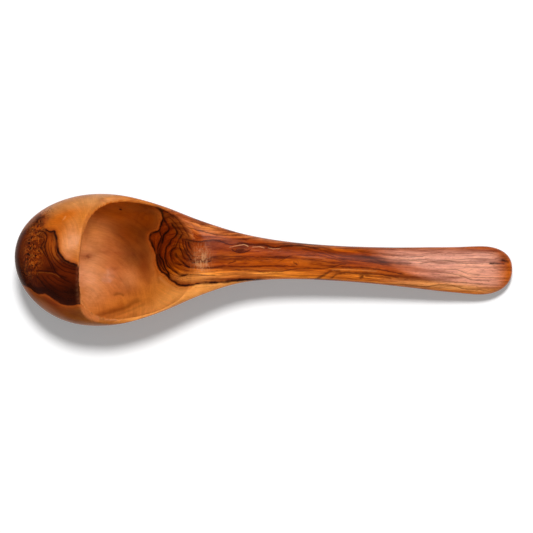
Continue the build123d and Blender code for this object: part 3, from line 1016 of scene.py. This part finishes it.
def drawn_line():
    """A line's core, and the shade that fades out on one side of it."""
    tree, start, end = group(
        "Shader", "Drawn_Line", {"Vector": ["Sheet"], "Float": ["Wander", "Swell", "Fade"]},
        {"Float": ["Core", "Shade"]})
    gap, dark, half = parts(tree, start["Sheet"])
    dark = maths(tree, "MULTIPLY", dark, start["Fade"])
    moved = maths(tree, "ADD", gap, start["Wander"])
    width = maths(tree, "MULTIPLY", half, start["Swell"])
    share = maths(tree, "DIVIDE", moved, width)
    away = maths(tree, "ABSOLUTE", share)
    # Wide lines are stains: they have no sharp border.
    sharp_until = soft_step(tree, half, *STAIN_WIDTHS, CORE_STARTS, 0.0)
    core = soft_step(tree, away, sharp_until, CORE_ENDS, 1.0, 0.0)
    one_side = soft_step(tree, share, *SHADE_SIDE)
    fall = maths(tree, "MULTIPLY", soft_step(tree, away, *SHADE_FADES, 1.0, 0.0), one_side)
    put(tree, maths(tree, "MULTIPLY", core, dark), end["Core"])
    put(tree, maths(tree, "MULTIPLY", fall, dark), end["Shade"])
    return tree


# %% The grain: broad streaks, fine fibres and short pores
def wood_grain():
    """Broad streaks, dark hairs, fine threads, fibres and short pores."""
    tree, start, end = group(
        "Shader", "Wood_Grain", {"Vector": ["Grain", "Place"]},
        {"Float": ["Streak", "Hair", "Thread", "Fibre", "Pore"]})
    run, place = start["Grain"], start["Place"]
    streak = noise(tree, run, "streak")
    hair = 0.0
    for name, thin in (("hair_wide", 0.085), ("hair_fine", 0.12)):
        ridge = maths(tree, "ABSOLUTE", maths(tree, "SUBTRACT", noise(tree, run, name), 0.5))
        hair = maths(tree, "MAXIMUM", hair, soft_step(tree, ridge, 0.0, thin, 1.0, 0.0))
    broken = noise(tree, run, "broken")
    hair = maths(tree, "MULTIPLY", hair, soft_step(tree, broken, 0.44, 0.62))
    thread = noise(tree, run, "thread")
    fibre = noise(tree, place, "fibre")
    pore = soft_step(tree, noise(tree, place, "pore"), 0.66, 0.74)
    for value, socket in zip((streak, hair, thread, fibre, pore), end):
        put(tree, value, socket)
    return tree


# %% The burl's golden flecks
BURL_DRIFT = 0.009


def burl_flecks():
    """Thin golden flecks, black blotches and golden clouds, in bent places."""
    tree, start, end = group(
        "Shader", "Burl_Flecks", {"Vector": ["Place"]}, {"Float": ["Fleck", "Blotch", "Gold"]})
    where = start["Place"]
    around = {"Vector": where, "Scale": 160.0, "Detail": 2.0}
    drift = make(tree, "ShaderNodeTexNoise", around)["Color"]
    bend = {0: drift, 1: (BURL_DRIFT, BURL_DRIFT, BURL_DRIFT), 2: where}
    bent = make(tree, "ShaderNodeVectorMath", bend, operation="MULTIPLY_ADD")[0]
    wave = noise(tree, bent, "fleck")
    ridge = maths(tree, "ABSOLUTE", maths(tree, "SUBTRACT", wave, 0.5))
    fleck = soft_step(tree, ridge, 0.0, 0.04, 1.0, 0.0)
    field = soft_step(tree, noise(tree, where, "fleck_field"), 0.42, 0.56)
    mottle = noise(tree, bent, "mottle")
    put(tree, maths(tree, "MULTIPLY", fleck, field), end["Fleck"])
    put(tree, soft_step(tree, wave, 0.53, 0.62), end["Blotch"])
    put(tree, soft_step(tree, mottle, 0.47, 0.57), end["Gold"])
    return tree


LINE_GROUP, GRAIN_GROUP, BURL_GROUP = drawn_line(), wood_grain(), burl_flecks()
print("node groups:", LINE_GROUP.name, GRAIN_GROUP.name, BURL_GROUP.name)

# %% The material and what it reads
wood = bpy.data.materials.new("olive_wood_oiled")
tree = bare(wood)
where = make(tree, "ShaderNodeTexCoord")["Object"]


def attribute(name, output="Vector"):
    """What the mesh's corners carry under a name."""
    return make(tree, "ShaderNodeAttribute", attribute_name=name)[output]


def use(node_group, **inputs):
    """A node group placed in the wood, with its inputs."""
    return make(tree, "ShaderNodeGroup", inputs, node_tree=node_group)


def times(first, second):
    """One value or output times another."""
    return maths(tree, "MULTIPLY", first, second)


def scaled(value, factor, start):
    """The value times a factor, plus a start."""
    return maths(tree, "MULTIPLY_ADD", value, factor, start)


# %% [markdown]
# A ring's line is never quite even: it wanders, swells and fades. The same
# three noises bend every line, so that neighbours keep their distance.

# %% The lines, the grain and the masks
crinkle = noise(tree, where, "crinkle")
swell = scaled(noise(tree, where, "swell"), 1.8, 0.1)
fade = soft_step(tree, noise(tree, where, "fade"), 0.30, 0.50, 0.6, 1.0)


def all_lines(kind, channels, wander):
    """The strongest core and shade of all the channels."""
    core, shade = 0.0, 0.0
    for channel in range(channels):
        sheet = attribute(f"{kind}_{channel}")
        drawn = use(LINE_GROUP, Sheet=sheet, Wander=wander, Swell=swell, Fade=fade)
        core = maths(tree, "MAXIMUM", core, drawn["Core"])
        shade = maths(tree, "MAXIMUM", shade, drawn["Shade"])
    return core, shade


core, shade = all_lines("dark", DARK_CHANNELS, scaled(crinkle, 1.1, -0.55))
gleam, _ = all_lines("light", LIGHT_CHANNELS, scaled(crinkle, 0.8, -0.4))
grain = use(GRAIN_GROUP, Grain=attribute("grain"), Place=where)
flecks = use(BURL_GROUP, Place=where)
burl_mask, edge_mask, worn_mask = parts(tree, attribute("marks"))
heart_mask, patch_mask, calm_mask = parts(tree, attribute("woods"))
sap_mask = maths(tree, "SUBTRACT", 1.0, maths(tree, "MAXIMUM", heart_mask, patch_mask))

# %% [markdown]
# The ground is made livelier by multiplying it with tints, which keeps its
# hue. The sapwood gets soft clouds, and the heartwood strong streaks and
# threads, which are calmer at the handle's pale end.

# %% Clouds, streaks and threads
TINTS = {
    "light_cloud": (1.22, 1.30, 1.40), "dark_cloud": (0.76, 0.66, 0.55),
    "light_streak": (1.5, 1.75, 1.4), "dark_streak": (0.42, 0.34, 0.32),
    "light_thread": (1.30, 1.42, 1.3), "dark_thread": (0.56, 0.46, 0.42),
    "hair": (0.38, 0.26, 0.22), "fibre": (0.70, 0.62, 0.55),
    "line_shade": (0.45, 0.28, 0.20), "pore": (0.45, 0.35, 0.3),
}


def tint(tone, share, name):
    """The tone multiplied by a tint, as far as the share says."""
    return mix(tree, share, tone, (*TINTS[name], 1), "MULTIPLY")


def swing(tone, wave, high, low, strength, kind):
    """Lighter where the wave is high, and darker where it is low."""
    tone = tint(tone, times(soft_step(tree, wave, *high), strength), "light_" + kind)
    return tint(tone, times(soft_step(tree, wave, *low), strength), "dark_" + kind)


# Each strength has what its mask adds or takes away, and then what all the wood gets.
tone = attribute("wash", "Color")
cloud = noise(tree, where, "cloud")
pale_cloud = times(soft_step(tree, cloud, 0.48, 0.66), sap_mask)
dark_cloud = times(soft_step(tree, cloud, 0.52, 0.34), sap_mask)
tone = tint(tone, times(pale_cloud, 0.5), "light_cloud")
tone = tint(tone, times(dark_cloud, 0.6), "dark_cloud")
streak_strength = times(scaled(heart_mask, 0.46, 0.14), scaled(calm_mask, -0.6, 1.0))
tone = swing(tone, grain["Streak"], (0.5, 0.70), (0.5, 0.32), streak_strength, "streak")
thread_strength = times(scaled(heart_mask, 0.80, 0.14), scaled(calm_mask, -0.3, 1.0))
tone = swing(tone, grain["Thread"], (0.50, 0.66), (0.50, 0.34), thread_strength, "thread")
tone = tint(tone, times(grain["Hair"], scaled(heart_mask, 0.62, 0.06)), "hair")
fibre_share = soft_step(tree, grain["Fibre"], 0.35, 0.65, 0.0, 0.22)
tone = tint(tone, times(fibre_share, scaled(heart_mask, 1.0, 1.0)), "fibre")

# %% Burl, lines, pores and wear
for mark, strength, colour in (
    ("Gold", 0.85, "patch_gold"), ("Blotch", 1.0, "patch_black"), ("Fleck", 0.9, "fleck_gold"),
):
    tone = mix(tree, times(flecks[mark], times(burl_mask, strength)), tone, colour)
tone = tint(tone, times(shade, 0.55), "line_shade")
tone = mix(tree, times(gleam, scaled(patch_mask, -0.9, 0.9)), tone, "pale_line")
tone = mix(tree, times(gleam, patch_mask), tone, "fleck_gold")
tone = mix(tree, core, tone, "line_dark")
tone = tint(tone, times(grain["Pore"], scaled(heart_mask, 0.32, 0.08)), "pore")
# The worn spot is scratched across, so its noise is long in Y.
scratch = soft_step(tree, noise(tree, where, "scratch"), 0.46, 0.58, 0.0, 0.8)
scratched = times(worn_mask, scratch)
tone = mix(tree, scratched, tone, "worn")
# Sharp edges are a little paler from wear.
tone = mix(tree, times(edge_mask, 0.08), tone, "sap_highlight_and_wear")

# %% [markdown]
# Oiled wood has a soft gloss. The fibres break it up a little, and where a
# hand has worn the oil off the neck, the wood is duller.

# %% The gloss and the feel of the grain
ROUGHNESS = 0.20
FIBRE_DULLNESS, WORN_DULLNESS = 0.10, 0.18
PORE_DEPTH = 0.8
BUMP = 0.1 * MM

fibre_dull = scaled(grain["Fibre"], FIBRE_DULLNESS, ROUGHNESS - FIBRE_DULLNESS / 2)
dull = maths(tree, "ADD", fibre_dull, times(worn_mask, WORN_DULLNESS))
height = maths(tree, "SUBTRACT", grain["Fibre"], times(grain["Pore"], PORE_DEPTH))
feel = make(tree, "ShaderNodeBump", {"Height": height, "Strength": 0.35, "Distance": BUMP})[0]
oiled = make(tree, "ShaderNodeBsdfPrincipled", {
    "Base Color": tone, "Roughness": dull, "Normal": feel,
    "IOR": 1.46, "Specular IOR Level": 0.45,
})[0]
make(tree, "ShaderNodeOutputMaterial", {"Surface": oiled})
mesh.materials.clear()
mesh.materials.append(wood)
print("nodes in the wood:", len(tree.nodes))

# %% The piece takes the solid's place
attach(ladle, "root")
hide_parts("ladle")

# %% [markdown]
# ## Floor, light and camera
# The floor is white paper. A soft window light comes from beyond the ladle,
# and a side panel and a weak low panel fill in. Only two small lamps show in
# the oil as a sheen, and the room's dark top lets the wood keep its colour. A
# pale band round the horizon and the paper's glow give the bright outlines.

# %% The floor
HALF_FLOOR = 6.0
FLOOR_DROP = 0.2 * MM
FLOOR_LIFT = 0.22
FLOOR_SHOWN, FLOOR_BOUNCE, FLOOR_GLOSSY = 0.9, 0.30, 0.03
POOL_CENTRE, POOL_SIZE = (0.12, 0.03, 0.0), (0.18, 0.12, 1.0)
POOL_GLOW, POOL_COLOUR = 0.7, (1.0, 0.80, 0.72, 1)
CORNER_SIGNS = ((-1, -1), (1, -1), (1, 1), (-1, 1))

corners = [(x * HALF_FLOOR, y * HALF_FLOOR, -FLOOR_DROP) for x, y in CORNER_SIGNS]
floor_mesh = bpy.data.meshes.new("floor")
floor_mesh.from_pydata(corners, [], [(0, 1, 2, 3)])
floor = bpy.data.objects.new("floor", floor_mesh)
bpy.context.scene.collection.objects.link(floor)
print("floor of", 2 * HALF_FLOOR, "m")

# %% The paper
# It shows white to the camera, gives little light back, and keeps the shadow.
paper = bpy.data.materials.new("white_paper")
sheet = bare(paper)
path = make(sheet, "ShaderNodeLightPath")
seen = path["Is Camera Ray"]
shown = maths(sheet, "MULTIPLY_ADD", seen, FLOOR_SHOWN - FLOOR_GLOSSY, FLOOR_GLOSSY)
shown = maths(sheet, "MULTIPLY_ADD", path["Is Diffuse Ray"], FLOOR_BOUNCE - FLOOR_GLOSSY, shown)
matt = make(sheet, "ShaderNodeBsdfDiffuse", {"Color": shown})[0]

# Near the ladle the paper has a painted glow that only reflections see, though it is no lamp: it puts a
# painted reflection into the wood's steep edges.
pool = make(sheet, "ShaderNodeTexCoord")["Object"]
for operation, amount in (("SUBTRACT", POOL_CENTRE), ("DIVIDE", POOL_SIZE)):
    pool = make(sheet, "ShaderNodeVectorMath", {0: pool, 1: amount}, operation=operation)[0]
pool = make(sheet, "ShaderNodeVectorMath", {0: pool}, operation="LENGTH")["Value"]
pool = soft_step(sheet, pool, 0.8, 1.6, POOL_GLOW, 0.0)
pool = maths(sheet, "MULTIPLY", pool, path["Is Glossy Ray"])
glow = make(sheet, "ShaderNodeEmission", {
    "Color": mix(sheet, seen, POOL_COLOUR, (1, 1, 1, 1)),
    "Strength": maths(sheet, "MULTIPLY_ADD", seen, FLOOR_LIFT, pool),
})[0]
both = make(sheet, "ShaderNodeAddShader", {0: matt, 1: glow})[0]
make(sheet, "ShaderNodeOutputMaterial", {"Surface": both})
floor_mesh.materials.append(paper)

# %% The lights and the room
# Each light has the direction that it comes from, its width in degrees, its
# share of the light, what it falls on, and whether it shows in the gloss. The
# floor has its own window light, so that its shadow stays one clear shape.
LIGHTS = {
    "window": ((0.20, 0.34, 0.92), 24, 0.45, ladle, False),
    "low_panel": ((0.25, -0.60, 0.76), 50, 0.07, ladle, False),
    "side_panel": ((0.62, 0.20, 0.76), 40, 0.20, ladle, False),
    "handle_sheen": ((0.42, 0.20, 0.88), 22, 0.06, ladle, True),
    "hood_sheen": ((-0.26, 0.34, 0.90), 12, 0.06, ladle, True),
    "floor_window": ((0.00, 0.45, 0.89), 13, 0.78, floor, False),
}
SHEEN_COLOUR = (1.0, 0.82, 0.70)
for name, (source, width, share, lit, glossy) in LIGHTS.items():
    towards_light = Vector(source).normalized()
    data = bpy.data.lights.new(name, "SUN")
    data.angle = math.radians(width)
    data.energy = math.pi * share / towards_light.z
    if glossy:
        data.color = SHEEN_COLOUR
    lamp = bpy.data.objects.new(name, data)
    lamp.rotation_euler = towards_light.to_track_quat("Z", "Y").to_euler()
    bpy.context.scene.collection.objects.link(lamp)
    falls_on = bpy.data.collections.new("lit_by_" + name)
    falls_on.objects.link(lit)
    lamp.light_linking.receiver_collection = falls_on
    lamp.visible_glossy = glossy

print("lights:", ", ".join(LIGHTS))

# %% The room
# Each ring of the room has its height, from the horizon at 0 to the top at 1,
# and its light. The matt fill is the same from all round.
ROOM_RINGS = ((0.12, 0.12), (0.42, 0.05), (0.95, 0.01))
SOFT_FILL = 0.16

world = bpy.data.worlds.new("studio")
bpy.context.scene.world = world
sky = bare(world)
direction = make(sky, "ShaderNodeTexCoord")["Generated"]
fade = sky.nodes.new("ShaderNodeValToRGB")
put(sky, parts(sky, direction)["Z"], fade.inputs[0])
rings_of_room = fade.color_ramp.elements
rings_of_room.new(ROOM_RINGS[1][0])
for ring, (level, light) in zip(rings_of_room, ROOM_RINGS):
    ring.position, ring.color = level, (light, light, light, 1)
path = make(sky, "ShaderNodeLightPath")
fill = mix(sky, path["Is Diffuse Ray"], fade.outputs[0], (SOFT_FILL, SOFT_FILL, SOFT_FILL, 1))
room = make(sky, "ShaderNodeBackground", {"Color": fill})[0]
plain = make(sky, "ShaderNodeBackground", {"Color": (1, 1, 1, 1)})[0]
choice = make(sky, "ShaderNodeMixShader", {0: path["Is Camera Ray"], 1: room, 2: plain})[0]
make(sky, "ShaderNodeOutputWorld", {"Surface": choice})

print("room with", len(rings_of_room), "rings")

# %% [markdown]
# The photograph was taken from straight above and from far away, for it shows
# next to no perspective. A long lens five metres up does the same.

# %% The camera, straight above
CAMERA_HEIGHT = 5.0
SHARP_LEVEL = 0.02
PICTURE_PIXELS = 533
SENSOR = 36.0
camera_data = bpy.data.cameras.new("camera")
camera_data.type = "PERSP"
camera_data.sensor_width = SENSOR
picture_width = PICTURE_PIXELS * PIXEL_SIZE * MM
camera_data.lens = SENSOR * CAMERA_HEIGHT / picture_width
camera = bpy.data.objects.new("camera", camera_data)
middle_x, middle_y = plan([(PICTURE_PIXELS / 2, PICTURE_PIXELS / 2)])[0] * MM
camera.location = (middle_x, middle_y, CAMERA_HEIGHT + SHARP_LEVEL)
bpy.context.scene.collection.objects.link(camera)
bpy.context.scene.camera = camera
bpy.context.scene.view_settings.view_transform = "Standard"
print("lens", round(camera_data.lens, 1), "mm")
